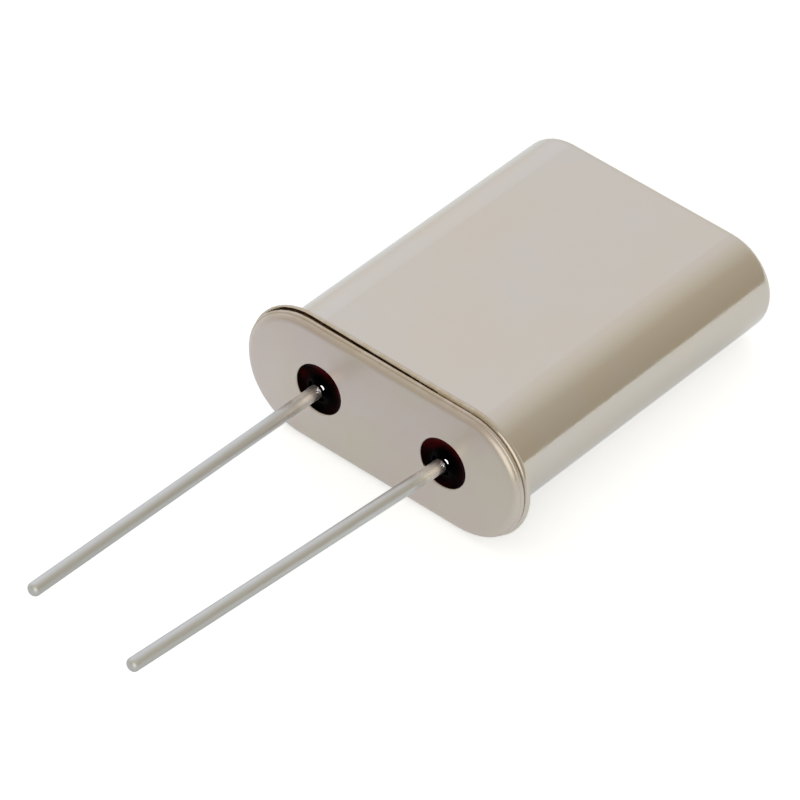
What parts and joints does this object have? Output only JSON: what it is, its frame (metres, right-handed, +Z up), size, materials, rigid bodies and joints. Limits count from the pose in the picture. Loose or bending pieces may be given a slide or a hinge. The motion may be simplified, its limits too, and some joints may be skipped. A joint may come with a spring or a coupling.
{
  "type": "crystal oscillator",
  "caption": "Flat oval metal can welded to a flanged base, with wire leads through dark glass seals and a quartz disc on spring clips inside.",
  "frame": {"origin": "middle of the base's seating face, halfway between the two leads", "axes": "+Y runs from the seating face into the can, along its height, +X runs across the can's width from the left lead to the right one, and +Z is up as the part lies on its flat side"},
  "size_m": [0.011, 0.026, 0.0046],
  "materials": {
    "nickel_can": "satin nickel plating on a drawn sheet can",
    "nickel_base": "satin nickel plating on a stamped base",
    "seal_glass": "glossy, nearly black ruby sealing glass",
    "tinned_lead": "satin solder-dipped wire",
    "spring_clip": "plain rolled strip",
    "quartz": "lapped quartz, slightly frosted",
    "silver_film": "evaporated silver film",
    "silver_adhesive": "cured silver-filled adhesive"
  },
  "bodies": {
    "root": {"can": "nickel_can", "base": "nickel_base", "glass_seal_left": "seal_glass", "glass_seal_right": "seal_glass", "lead_left": "tinned_lead", "lead_right": "tinned_lead", "clip_left": "spring_clip", "clip_right": "spring_clip", "quartz_blank": "quartz", "electrode_front": "silver_film", "electrode_back": "silver_film", "adhesive_left": "silver_adhesive", "adhesive_right": "silver_adhesive"}
  },
  "joints": []
}
